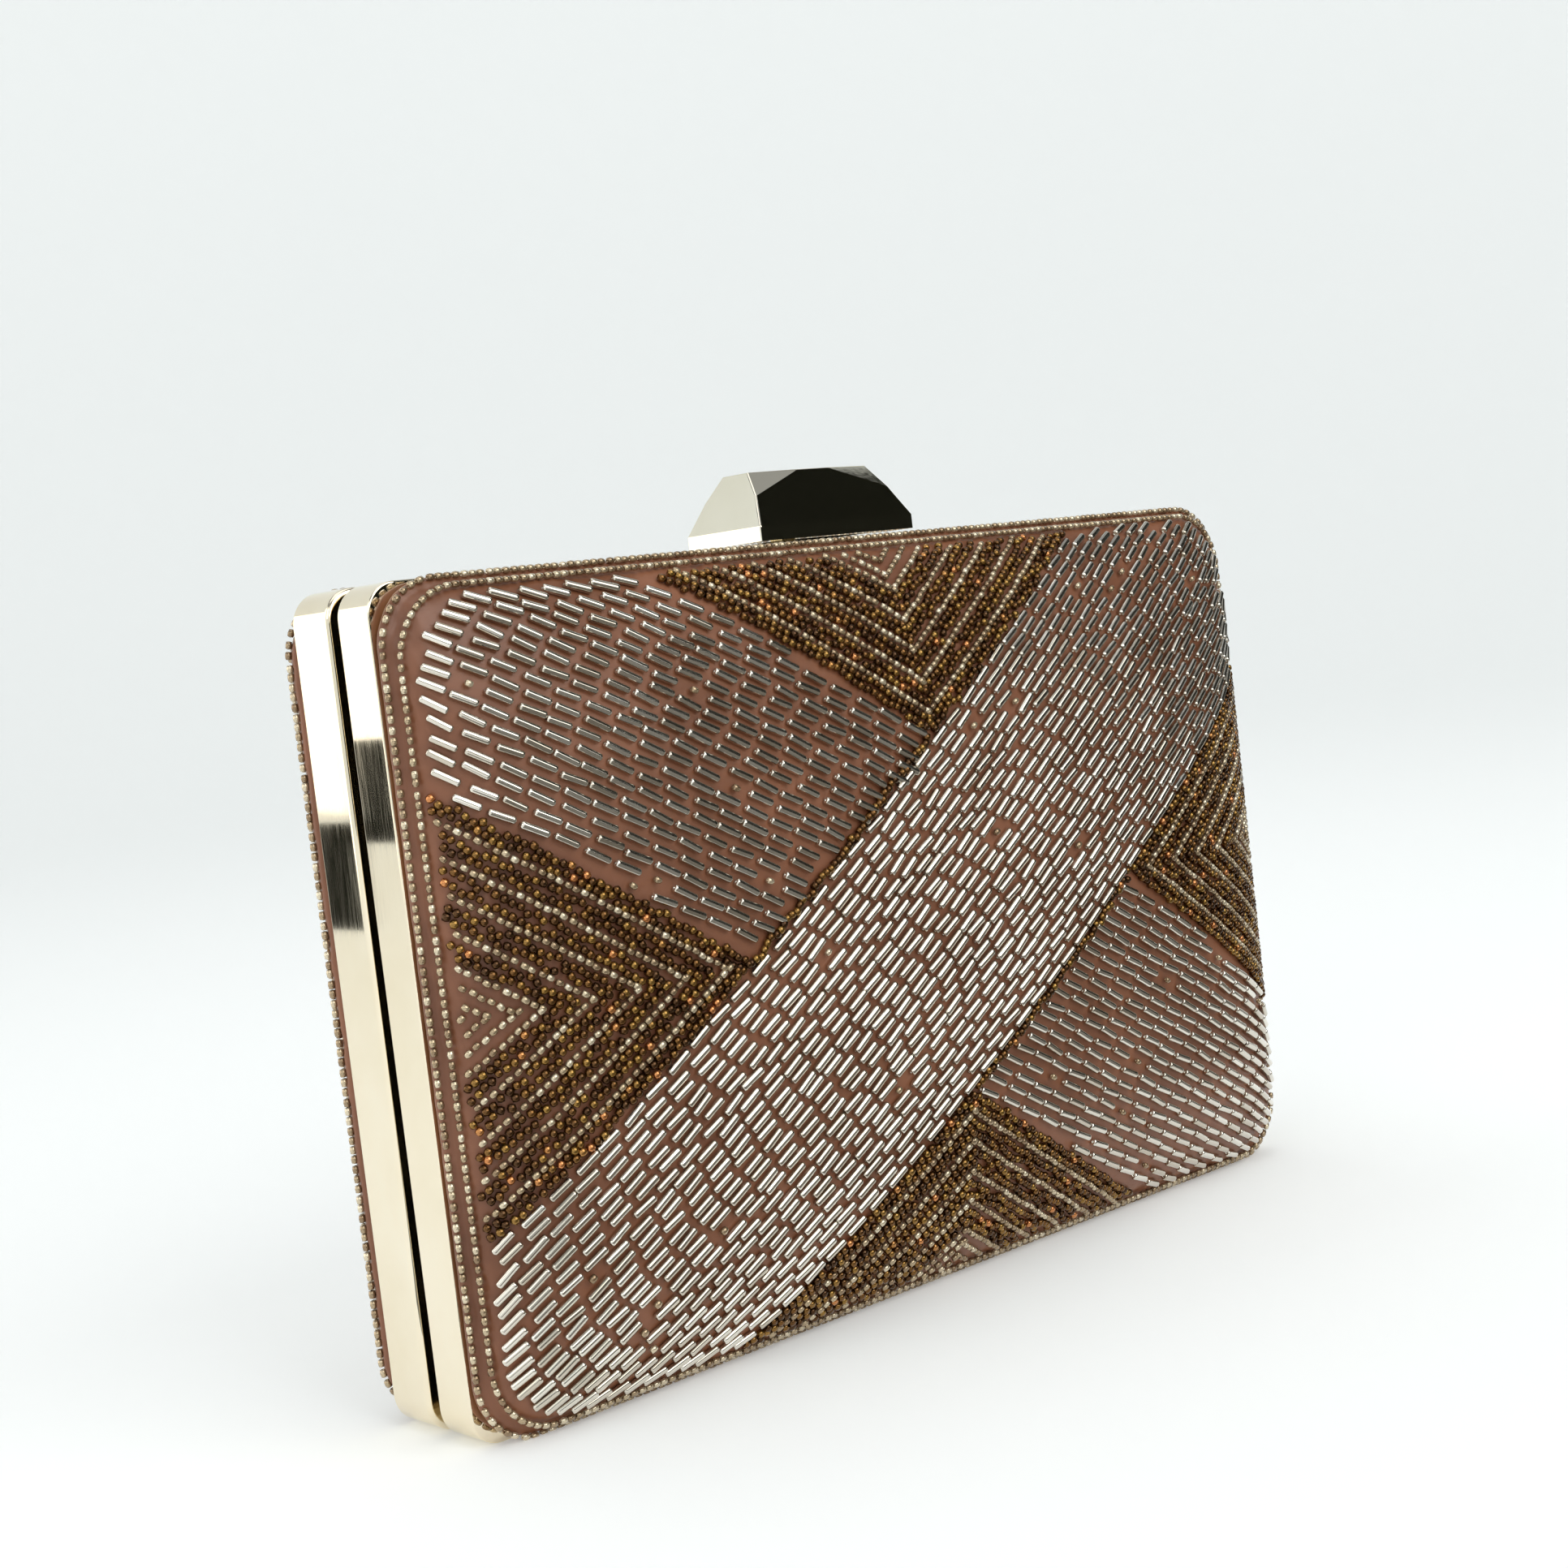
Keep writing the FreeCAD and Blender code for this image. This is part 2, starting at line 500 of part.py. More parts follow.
def clasp_screws():
    """Two screws that hold the bar on the lever's head."""
    seat = LEVER_TOP - HEAD_THICKNESS
    screws = []
    for x in (-SCREW_OFFSET, SCREW_OFFSET):
        shank = cylinder_z(x, SCREW_Y, seat, LEVER_TOP + SCREW_LENGTH, SCREW_RADIUS)
        head = cylinder_z(x, SCREW_Y, seat - SCREW_HEAD, seat, SCREW_HEAD_RADIUS)
        screws.append(shank.fuse(head))
    return Part.makeCompound(screws)


def clasp_spring():
    """A torsion spring round the pivot pin: one leg behind the lever's lug, one on the bracket."""
    length = SPRING_PITCH * SPRING_TURNS
    helix = Part.makeHelix(SPRING_PITCH, length, SPRING_COIL_RADIUS)
    start = Vector(SPRING_COIL_RADIUS, 0, 0)
    rise = SPRING_PITCH / (2 * math.pi * SPRING_COIL_RADIUS)
    start_tangent = Vector(0, 1, rise).normalize()
    wire_end = Part.Wire(Part.makeCircle(SPRING_WIRE_RADIUS, start, start_tangent))
    coil = Part.Wire(helix).makePipeShell([wire_end], True, True)
    end_turn = 2 * math.pi * SPRING_TURNS
    end = Vector(math.cos(end_turn), math.sin(end_turn), 0) * SPRING_COIL_RADIUS + Vector(0, 0, length)
    end_tangent = Vector(-math.sin(end_turn), math.cos(end_turn), rise).normalize()
    first_leg = Part.makeCylinder(SPRING_WIRE_RADIUS, SPRING_LEG, start, -start_tangent)
    second_leg = Part.makeCylinder(SPRING_WIRE_RADIUS, SPRING_LEG, end, end_tangent)
    spring = coil.fuse([first_leg, second_leg])
    turned = FreeCAD.Matrix(0, 0, -1, 0, 1, 0, 0, 0, 0, -1, 0, 0)
    spring = spring.transformShape(turned, True)
    spring.translate(Vector(EAR_INNER - SPRING_END_GAP - SPRING_WIRE_RADIUS, PIVOT_Y, PIVOT_Z))
    return spring


def all_parts():
    """Every piece of the bag, by name."""
    parts = {}
    for side, half in HALF_NAMES.items():
        parts[half + "_frame"] = half_frame(side)
        parts[half + "_shell"] = wrapped_layer(side, SHELL_LEVEL, SHELL_THICKNESS)
        parts[half + "_padding"] = wrapped_layer(side, PADDING_LEVEL, PADDING_THICKNESS)
        parts[half + "_cover"] = wrapped_layer(side, 0, COVER_THICKNESS)
        parts[half + "_beadwork"] = beadwork(side)
        parts[half + "_lining"] = wrapped_layer(side, LINING_LEVEL, LINING_THICKNESS)
        parts["hinge_leaf_" + half + "_left"] = hinge_leaf(-HINGE_OFFSET, side)
        parts["hinge_leaf_" + half + "_right"] = hinge_leaf(HINGE_OFFSET, side)
        parts[half + "_hinge_rivets"] = rivets(hinge_rivet_places(), side, LEAF_THICKNESS)
    parts["hinge_pin_left"] = hinge_pin(-HINGE_OFFSET)
    parts["hinge_pin_right"] = hinge_pin(HINGE_OFFSET)
    parts["closing_lip"] = closing_lip()
    parts["catch_plate"] = catch_plate()
    parts["catch_rivets"] = rivets(latch_rivet_places(), FRONT, PLATE_THICKNESS)
    parts["clasp_bracket"] = clasp_bracket()
    parts["clasp_bracket_rivets"] = rivets(latch_rivet_places(), BACK, PLATE_THICKNESS)
    parts["clasp_pivot_pin"] = clasp_pivot_pin()
    parts["clasp_spring"] = clasp_spring()
    parts["clasp_lever"] = clasp_lever()
    parts["clasp_cap"] = clasp_cap()
    parts["clasp_screws"] = clasp_screws()
    return parts


os.makedirs("parts", exist_ok=True)
for name, shape in all_parts().items():
    shape.exportStep("parts/" + name + ".step")
    print(name, "solids", len(shape.Solids), "volume", round(shape.Volume, 1), "valid", shape.isValid())
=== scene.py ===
import json
import math

import bmesh
import bpy
import numpy as np
from mathutils import Matrix, Vector, noise


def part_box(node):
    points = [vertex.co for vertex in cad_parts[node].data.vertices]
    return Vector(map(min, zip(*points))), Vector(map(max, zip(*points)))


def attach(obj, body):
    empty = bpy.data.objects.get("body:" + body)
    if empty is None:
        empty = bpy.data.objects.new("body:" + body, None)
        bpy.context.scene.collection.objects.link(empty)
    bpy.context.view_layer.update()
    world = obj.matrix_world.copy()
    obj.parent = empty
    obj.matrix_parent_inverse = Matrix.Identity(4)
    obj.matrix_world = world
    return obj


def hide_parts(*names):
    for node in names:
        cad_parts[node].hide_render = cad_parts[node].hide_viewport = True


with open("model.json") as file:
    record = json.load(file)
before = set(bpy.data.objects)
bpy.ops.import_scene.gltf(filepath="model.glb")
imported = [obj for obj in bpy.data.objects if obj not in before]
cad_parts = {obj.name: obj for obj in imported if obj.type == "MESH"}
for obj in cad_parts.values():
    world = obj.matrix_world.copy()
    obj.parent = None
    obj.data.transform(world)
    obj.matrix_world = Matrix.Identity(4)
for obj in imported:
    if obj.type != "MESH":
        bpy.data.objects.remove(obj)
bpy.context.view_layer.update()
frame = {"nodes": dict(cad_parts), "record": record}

# A beaded box clutch. Metres throughout; MM turns the sizes below into metres.
MM = 0.001
RANDOM = np.random.default_rng(7)
FRONT = -1
BACK = 1
HALVES = {FRONT: "front", BACK: "back"}

# ---- the padded halves, as the design shapes them ------------------------------------------
PILLOW_WALL = 2.0 * MM          # straight stretch outside the frame before the dome
COVER_CORNER = 8.55 * MM        # corner radius of the satin beside the frame
CORNER_GROWTH = 0.8             # how fast the corners get rounder towards the crown
ENDS_GROWTH = 3.0               # how late the long and short sides' slopes even out
COVER_THICKNESS = 0.4 * MM
WADDING_THICKNESS = 1.15 * MM
LINING_THICKNESS = 0.3 * MM
ARC_STEPS = 4000                # steps in the table of distances along the dome
SURFACE_STEP = 1e-4             # step that a surface's slope is measured over
NEAR_CROWN = 0.9999
HALVINGS = 30                   # rounds of the search for a point's cross-section
TINY = 1e-9

# ---- embroidery, laid out on the flat cloth from the panel's middle -------------------------
BAND_ANGLE = math.radians(33.7)
BAND_HALF_WIDTH = 24.5 * MM
CROSS_BUGLE_ANGLE = math.radians(-29.0)
BUGLE_LENGTH = 4.5 * MM
BUGLE_RADIUS = 0.66 * MM
BUGLE_END_GAP = 0.65 * MM
BAND_ROW_PITCH = 1.98 * MM
CROSS_ROW_PITCH = 2.3 * MM
ROW_UNEVENNESS = 0.09 * MM      # how far a bugle strays from its row
END_UNEVENNESS = 0.3 * MM       # how much the gaps between bugle ends vary
ROW_STARTS = (-0.5 * MM, 0.9 * MM)   # where a row starts, past the edge of its stretch of cloth
ROW_STRETCH = 1.12              # a row is spread out this much at most to fill its stretch
SEED_RADIUS = 0.56 * MM
SEED_LIFT = 0.25 * MM           # the pale seeds ride a little above the amber ones
SEED_LENGTH = 1.25 * MM
SEED_PITCH = 1.5 * MM
AMBER_RADIUS = 0.7 * MM
AMBER_LENGTH = 1.2 * MM
AMBER_PITCH = 1.35 * MM
CHEVRON_PITCH = 4.4 * MM        # from one pale row to the next
CHEVRON_FIRST = 3.4 * MM        # first pale row from the band's edge
AMBER_FIRST = (0.9 * MM, 2.3 * MM)   # amber rows before the first pale one
AMBER_ROWS = (1.5 * MM, 3.0 * MM)    # amber rows behind each pale one
TIP_START = 19.0 * MM           # beyond this the cloth shows between small pale chevrons
TIP_PITCH = 2.2 * MM
TIP_DEPTH = BAND_HALF_WIDTH + 6 * MM     # where the smallest chevrons end
AMBER_UNEVENNESS = 0.22 * MM
PALE_UNEVENNESS = 0.08 * MM
BAND_EDGE_UNEVENNESS = 0.3 * MM
PITCH_UNEVENNESS = 0.05         # of a seed's pitch
EDGE_ROW_UNEVENNESS = 0.06      # of a seed's pitch, in the rows that go all round
PATTERN_MARGIN = 5.8 * MM       # from the frame to the first beads, along the cloth
EDGE_ROWS = (2.3 * MM, 4.2 * MM)     # the two rows of pale seeds that go all round
SPARE_SHARE = 0.02              # bugles that were swapped for a single seed
ROW_REACH = 1.25                # rows are laid out this far past the panel's corners, then cut
BAND_EDGE_CROWDING = 0.8        # pitch of the amber line where the bands meet, over AMBER_PITCH
MITRE_OVERLAP = 0.3             # of a seed's pitch, where the two arms of a chevron meet
BEAD_SIZE_SPREAD = 0.035
BEAD_SINK = 0.9                 # height of a bead's axis over the satin, in bead radii


# ============================================================================================
# Shape of a padded half
# ============================================================================================

class Panel:
    """The outside of one satin cover: rounded rectangles that shrink and rise to the crown.

    inward runs from 0 at the rim to 1 at the crown. level is how deep a surface lies
    below the satin.
    """

    def __init__(self, side, level=0.0):
        half = HALVES[side]
        low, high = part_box(half + "_cover")
        frame_low, frame_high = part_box(half + "_frame")
        self.side = side
        self.edge_y = frame_low.y if side == FRONT else frame_high.y
        self.seat_y = high.y if side == FRONT else low.y
        crown_y = low.y if side == FRONT else high.y
        self.middle_z = (low.z + high.z) / 2
        self.half_width = (high.x - low.x) / 2 - level
        self.half_height = (high.z - low.z) / 2 - level
        self.corner = COVER_CORNER - level
        self.rise = abs(crown_y - self.edge_y) - PILLOW_WALL - level
        self.rim_y = self.edge_y + side * PILLOW_WALL
        steps = np.linspace(0, 1, ARC_STEPS) ** 2
        arc = np.hypot(np.diff(steps) * self.half_height, np.diff(self.height(steps)))
        self.inward_table = steps
        self.arc_table = PILLOW_WALL + np.concatenate(([0.0], np.cumsum(arc)))

    def height(self, inward):
        """How far the surface stands out past the rim."""
        return self.rise * np.sqrt(np.clip(1 - (1 - inward) ** 2, 0, 1))

    def outline_sizes(self, inward):
        """Half width, half height and corner radius of one cross-section."""
        high = self.half_height * (1 - inward)
        wide = high + (self.half_width - self.half_height) * (1 - inward ** ENDS_GROWTH)
        roundness = self.corner / self.half_height
        roundness = roundness + (1 - roundness) * inward ** CORNER_GROWTH
        return wide, high, high * roundness

    def distance(self, x, z, inward):
        """Signed distance to a cross-section's outline, and its outward direction."""
        wide, high, corner = self.outline_sizes(inward)
        from_x = np.abs(x) - wide + corner
        from_z = np.abs(z) - high + corner
        out_x = np.maximum(from_x, 0)
        out_z = np.maximum(from_z, 0)
        length = np.hypot(out_x, out_z)
        inside = np.minimum(np.maximum(from_x, from_z), 0)
        flat = length < TINY
        safe = np.where(flat, 1, length)
        along_x = np.where(flat, from_x > from_z, out_x / safe) * np.sign(x)
        along_z = np.where(flat, from_x <= from_z, out_z / safe) * np.sign(z)
        return length + inside - corner, along_x, along_z

    def find_inward(self, x, z):
        """Which cross-section passes through each point of the front view."""
        low = np.zeros_like(x)
        high = np.full_like(x, NEAR_CROWN)
        for _ in range(HALVINGS):
            middle = (low + high) / 2
            beyond = self.distance(x, z, middle)[0] > 0
            high = np.where(beyond, middle, high)
            low = np.where(beyond, low, middle)
        return (low + high) / 2

    def place(self, x, z, inward):
        """Points on the surface and the normals there."""
        step = SURFACE_STEP
        inward = np.clip(inward, 2 * step, 1 - 2 * step)
        ahead = self.distance(x, z, inward + step)[0]
        behind, along_x, along_z = self.distance(x, z, inward - step)
        shrink = np.maximum((ahead - behind) / (2 * step), 1e-6)
        climb = (self.height(inward + step) - self.height(inward - step)) / (2 * step)
        slope = climb / shrink
        points = np.stack([x, self.rim_y + self.side * self.height(inward), self.middle_z + z], 1)
        normals = np.stack([along_x * slope, np.full_like(x, float(self.side)), along_z * slope], 1)
        return points, normals / np.linalg.norm(normals, axis=1, keepdims=True)

    def from_flat(self, flat_x, flat_z):
        """Lays points of the flat cloth on the dome, keeping their distance from the rim."""
        full = self.arc_table[-1]
        spare = full - self.half_height
        along_x = self.half_width + spare - np.abs(flat_x)
        along_z = full - np.abs(flat_z)
        in_x = np.interp(along_x, self.arc_table, self.inward_table * self.half_height)
        in_z = np.interp(along_z, self.arc_table, self.inward_table * self.half_height)
        x = np.sign(flat_x) * (self.half_width - np.where(along_x > full, along_x - spare, in_x))
        z = np.sign(flat_z) * (self.half_height - in_z)
        inward = self.find_inward(x, z)
        points, normals = self.place(x, z, inward)
        return points, normals, np.interp(inward, self.inward_table, self.arc_table)

    def outline(self, inward, counts):
        """Points round one cross-section, with the same number on each stretch at every level.

        counts gives the points along a long side, a short side and a corner. Returns x, z
        and the distance travelled.
        """
        wide, high, corner = (float(v) for v in self.outline_sizes(np.float64(inward)))
        long_count, short_count, corner_count = counts
        points = []
        for quarter in range(4):
            sign_x = 1 if quarter in (0, 3) else -1
            sign_z = 1 if quarter in (0, 1) else -1
            centre = np.array([sign_x * (wide - corner), sign_z * (high - corner)])
            turns = math.pi / 2 * (quarter + np.arange(corner_count) / corner_count)
            points.append(centre + corner * np.stack([np.cos(turns), np.sin(turns)], 1))
            end = math.pi / 2 * (quarter + 1)
            start_point = centre + corner * np.array([math.cos(end), math.sin(end)])
            if quarter % 2 == 0:
                stop_point = start_point * (-1, 1)
                count = long_count
            else:
                stop_point = start_point * (1, -1)
                count = short_count
            shares = (np.arange(count) / count)[:, None]
            points.append(start_point * (1 - shares) + stop_point * shares)
        ring = np.concatenate(points)
        travelled = np.cumsum(np.linalg.norm(ring - np.roll(ring, 1, axis=0), axis=1))
        return ring[:, 0], ring[:, 1], travelled


# ============================================================================================
# Mesh helpers
# ============================================================================================

def make_object(name, points, faces):
    """A smooth-shaded mesh object from point and quad arrays."""
    mesh = bpy.data.meshes.new(name)
    mesh.from_pydata(points.tolist(), [], faces.tolist())
    mesh.polygons.foreach_set("use_smooth", np.full(len(mesh.polygons), True))
    mesh.update()
    made = bpy.data.objects.new(name, mesh)
    bpy.context.scene.collection.objects.link(made)
    return made


def finish_piece(piece, body, material):
    """Hangs a piece on its body and gives it its material."""
    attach(piece, body)
    piece.data.materials.clear()
    piece.data.materials.append(material)
    return piece


def turned_template(profile, sides):
    """A shape turned about X, as points and quads, from (along, radius) pairs."""
    turns = 2 * math.pi * np.arange(sides) / sides
    points = [(along, radius * math.cos(turn), radius * math.sin(turn))
              for along, radius in profile for turn in turns]
    quads = [(ring * sides + i, ring * sides + (i + 1) % sides,
              (ring + 1) * sides + (i + 1) % sides, (ring + 1) * sides + i)
             for ring in range(len(profile) - 1) for i in range(sides)]
    return np.array(points), np.array(quads)


BUGLE_SIDES = 8
BUGLE_BORE = 0.3                     # bore over bead radius
BORE_MOUTH = 1.3                     # the bore opens this much at its mouth
BORE_END = 0.02 * MM                 # the bore tapers to this, out of sight
GROUND_END = 0.16 * MM
GROUND_RADIUS = 0.86                 # of the bead's radius, at the ground end
PALE_SIDES = 8
PALE_BULGE = 0.84                    # radius near the ends, over the radius in the middle
AMBER_SIDES = 7
AMBER_BULGE = 0.8
SEED_BORE = 0.32
SEED_SHOULDER = 0.86                 # where the ends start to round, over half the length
SEED_BORE_DEPTH = 0.2                # of half the length, from the middle


def bugle_template():
    """A cut glass tube with ground ends and a dark bore."""
    half = BUGLE_LENGTH / 2
    bore = BUGLE_BORE * BUGLE_RADIUS
    near = [(-half + 3 * GROUND_END, BORE_END), (-half + 2 * GROUND_END, bore),
            (-half, bore * BORE_MOUTH), (-half + GROUND_END / 2, BUGLE_RADIUS * GROUND_RADIUS),
            (-half + GROUND_END * 2, BUGLE_RADIUS), (-half + GROUND_END * 3, BUGLE_RADIUS)]
    far = [(-along, radius) for along, radius in reversed(near)]
    return turned_template(near + far, BUGLE_SIDES)


def seed_template(radius, length, sides, bulge):
    """A small rounded bead, threaded along X."""
    half = length / 2
    bore = SEED_BORE * radius
    near = [(-half * SEED_BORE_DEPTH, bore * SEED_BORE_DEPTH), (-half, bore),
            (-half * SEED_SHOULDER, radius * bulge)]
    far = [(-along, r) for along, r in reversed(near)]
    return turned_template(near + [(0.0, radius)] + far, sides)


def scatter(name, template, places, along, normals, lift):
    """One mesh that holds a copy of the template at every place, lying along the cloth."""
    points, quads = template
    along = along - normals * np.sum(along * normals, axis=1, keepdims=True)
    along = along / np.linalg.norm(along, axis=1, keepdims=True)
    across = np.cross(normals, along)
    axes = np.stack([along, across, normals], 1)
    scale = 1 + RANDOM.normal(0, BEAD_SIZE_SPREAD, (len(places), 1, 1))
    copies = np.einsum("pj,njk->npk", points, axes) * scale + (places + normals * lift)[:, None, :]
    offsets = (np.arange(len(places)) * len(points))[:, None, None]
    faces = (quads[None] + offsets).reshape(-1, 4)
    made = make_object(name, copies.reshape(-1, 3), faces)
    tone = made.data.attributes.new("bead_tone", "FLOAT", "POINT")
    tone.data.foreach_set("value", np.repeat(RANDOM.random(len(places)), len(points)))
    return made


# ============================================================================================
# Materials
# ============================================================================================

NOISE_LOW, NOISE_HIGH = 0.3, 0.7     # most of a noise texture's values lie between these


def new_material(name, **sockets):
    """A material with one Principled shader, its uniform values set on the shader itself."""
    material = bpy.data.materials.new(name)
    material.use_nodes = True
    shader = material.node_tree.nodes["Principled BSDF"]
    for socket, value in sockets.items():
        shader.inputs[socket.replace("_", " ")].default_value = value
    return material, material.node_tree, shader


def object_noise(tree, scale, detail=4.0, stretch=(1, 1, 1)):
    """Noise in object coordinates; scale is in features per metre."""
    coordinates = tree.nodes.new("ShaderNodeTexCoord")
    mapping = tree.nodes.new("ShaderNodeMapping")
    mapping.inputs["Scale"].default_value = stretch
    texture = tree.nodes.new("ShaderNodeTexNoise")
    texture.inputs["Scale"].default_value = scale
    texture.inputs["Detail"].default_value = detail
    tree.links.new(coordinates.outputs["Object"], mapping.inputs["Vector"])
    tree.links.new(mapping.outputs["Vector"], texture.inputs["Vector"])
    return texture.outputs["Fac"]


def ramp(tree, factor, stops):
    """A colour ramp over a factor."""
    node = tree.nodes.new("ShaderNodeValToRGB")
    elements = node.color_ramp.elements
    for index, (position, colour) in enumerate(stops):
        element = elements[index] if index < 2 else elements.new(position)
        element.position = position
        element.color = (*colour, 1)
    tree.links.new(factor, node.inputs["Fac"])
    return node.outputs["Color"]


def spread(tree, factor, low, high):
    """Maps a noise factor to a range."""
    node = tree.nodes.new("ShaderNodeMapRange")
    node.inputs["From Min"].default_value = NOISE_LOW
    node.inputs["From Max"].default_value = NOISE_HIGH
    node.inputs["To Min"].default_value = low
    node.inputs["To Max"].default_value = high
    tree.links.new(factor, node.inputs["Value"])
    return node.outputs["Result"]


def add_bump(tree, shader, height, strength, distance):
    """Fine relief in the surface, from a height."""
    node = tree.nodes.new("ShaderNodeBump")
    node.inputs["Strength"].default_value = strength
    node.inputs["Distance"].default_value = distance
    tree.links.new(height, node.inputs["Height"])
    tree.links.new(node.outputs["Normal"], shader.inputs["Normal"])


def plated_metal(name, dark, light, roughness):
    """Polished plate: faint cloudy colour, hairline marks and a slightly uneven polish."""
    material, tree, shader = new_material(name, Metallic=1.0)
    clouds = object_noise(tree, scale=60.0)
    tree.links.new(ramp(tree, clouds, [(NOISE_LOW, dark), (NOISE_HIGH, light)]), shader.inputs["Base Color"])
    hairlines = object_noise(tree, scale=900.0, detail=2.0, stretch=(1, 6, 0.15))
    tree.links.new(spread(tree, hairlines, *roughness), shader.inputs["Roughness"])
    add_bump(tree, shader, hairlines, strength=0.02, distance=0.02 * MM)
    return material


def woven_cloth(name, dark, light, roughness, thread_scale, sheen, sheen_tint):
    """Satin: fine ribbed weave, a sheen, and colour that clouds over the larger folds."""
    material, tree, shader = new_material(name, Sheen_Weight=sheen, Sheen_Roughness=0.35,
                                          Sheen_Tint=(*sheen_tint, 1))
    clouds = object_noise(tree, scale=45.0, detail=5.0)
    tree.links.new(ramp(tree, clouds, [(NOISE_LOW, dark), (NOISE_HIGH, light)]), shader.inputs["Base Color"])
    threads = object_noise(tree, thread_scale, detail=2.0, stretch=(0.35, 1, 1.6))
    tree.links.new(spread(tree, threads, *roughness), shader.inputs["Roughness"])
    add_bump(tree, shader, threads, strength=0.25, distance=0.06 * MM)
    return material


def glass_bead(name, stops, metallic, roughness, coat):
    """Lined glass: each bead has its own tone from the ramp, under a clear glossy coat."""
    material, tree, shader = new_material(name, Metallic=metallic, Coat_Weight=coat, Coat_Roughness=0.03)
    tone = tree.nodes.new("ShaderNodeAttribute")
    tone.attribute_name = "bead_tone"
    tree.links.new(ramp(tree, tone.outputs["Fac"], stops), shader.inputs["Base Color"])
    streaks = object_noise(tree, scale=700.0, detail=2.0)
    tree.links.new(spread(tree, streaks, *roughness), shader.inputs["Roughness"])
    return material


def moulded_plastic(name, dark, light):
    """Matt plastic with a fine moulded grain."""
    material, tree, shader = new_material(name, Specular_IOR_Level=0.4)
    grain = object_noise(tree, scale=1500.0, detail=3.0)
    tree.links.new(ramp(tree, grain, [(NOISE_LOW, dark), (NOISE_HIGH, light)]), shader.inputs["Base Color"])
    tree.links.new(spread(tree, grain, low=0.5, high=0.75), shader.inputs["Roughness"])
    add_bump(tree, shader, grain, strength=0.2, distance=0.05 * MM)
    return material


PLATE = plated_metal("champagne_plate", dark=(0.86, 0.76, 0.57), light=(0.92, 0.83, 0.66),
                     roughness=(0.03, 0.07))
CLASP_PLATE = plated_metal("clasp_plate", dark=(0.84, 0.79, 0.65), light=(0.90, 0.85, 0.72),
                           roughness=(0.03, 0.07))
FITTINGS = plated_metal("plain_brass", dark=(0.66, 0.52, 0.28), light=(0.74, 0.60, 0.34),
                        roughness=(0.22, 0.34))
STEEL = plated_metal("bright_steel", dark=(0.55, 0.54, 0.52), light=(0.68, 0.67, 0.65),
                     roughness=(0.18, 0.30))
SATIN = woven_cloth("rose_brown_satin", dark=(0.18, 0.063, 0.026), light=(0.28, 0.108, 0.052),
                    roughness=(0.34, 0.48), thread_scale=2600.0,
                    sheen=0.12, sheen_tint=(0.75, 0.45, 0.34))
LINING = woven_cloth("lining_satin", dark=(0.13, 0.06, 0.04), light=(0.18, 0.085, 0.06),
                     roughness=(0.4, 0.55), thread_scale=2200.0,
                     sheen=0.3, sheen_tint=(0.6, 0.4, 0.33))
WADDING = woven_cloth("wadding", dark=(0.62, 0.58, 0.51), light=(0.74, 0.70, 0.63),
                      roughness=(0.8, 0.95), thread_scale=1200.0,
                      sheen=0.6, sheen_tint=(0.9, 0.9, 0.85))
SHELL = moulded_plastic("shell_plastic", dark=(0.045, 0.04, 0.037), light=(0.06, 0.052, 0.048))
BUGLE_GLASS = glass_bead("silver_lined_bugle", [(0.0, (0.56, 0.50, 0.41)), (1.0, (0.82, 0.78, 0.70))],
                         metallic=0.97, roughness=(0.1, 0.16), coat=0.6)
PALE_GLASS = glass_bead("pale_seed", [(0.0, (0.27, 0.18, 0.10)), (0.6, (0.48, 0.37, 0.23)),
                                      (1.0, (0.74, 0.64, 0.47))],
                        metallic=0.7, roughness=(0.1, 0.2), coat=0.5)
AMBER_GLASS = glass_bead("amber_seed", [(0.0, (0.06, 0.024, 0.005)), (0.6, (0.18, 0.08, 0.016)),
                                        (0.96, (0.32, 0.18, 0.04)), (0.98, (0.6, 0.24, 0.08))],
                         metallic=0.85, roughness=(0.1, 0.22), coat=0.3)


# ============================================================================================
# Cloth: cover, padding and lining
# ============================================================================================

OUTLINE_COUNTS = (150, 100, 26)      # points on a long side, a short side and a corner
RINGS = 44
WALL_STEPS = 8
TUCK_STEPS = 4
CROWN_REACH = 0.985                  # the last ring, as a share of the way to the crown
ROLL_REACH = 1.4 * MM                # the satin puffs out this far, to lie level with the frame
ROLL_LENGTH = 2.6 * MM
ROLL_FULLNESS = 0.7                  # below 1 the roll is fuller than a half sine
GATHER_PLACE = 3.2 * MM
# Folds: height, how many a metre round the panel, how many a metre inwards, and a noise layer.
GATHERS = ((0.5 * MM, 260, 90, 3.1), (0.2 * MM, 620, 60, 8.7))
LINING_FOLDS = (0.5 * MM, 70, 55, 1.3)
LINING_TAUT = 10 * MM                # the folds fade out over this stretch beside the rim
FLOOR_GAP = 0.05 * MM


def roll(arc):
    """How far the padded satin puffs out over the frame's edge, at a distance from that edge."""
    return ROLL_REACH * math.sin(math.pi * min(arc / ROLL_LENGTH, 1)) ** ROLL_FULLNESS


def fold_noise(travelled, arc, fold):
    """How far the cloth stands out at each place, for one kind of fold."""
    height, round_scale, inward_scale, layer = fold
    wave = [noise.noise(Vector((t * round_scale, arc * inward_scale, layer))) for t in travelled]
    return height * np.array(wave)


def pucker(travelled, arc):
    """The roll over the frame's edge, and gathers across the bare strip of satin beside it."""
    strip = math.exp(-((arc - GATHER_PLACE) / GATHER_PLACE) ** 2)
    gathers = sum(fold_noise(travelled, arc, fold) for fold in GATHERS)
    return roll(arc) + gathers * strip * min(1, arc / PILLOW_WALL)


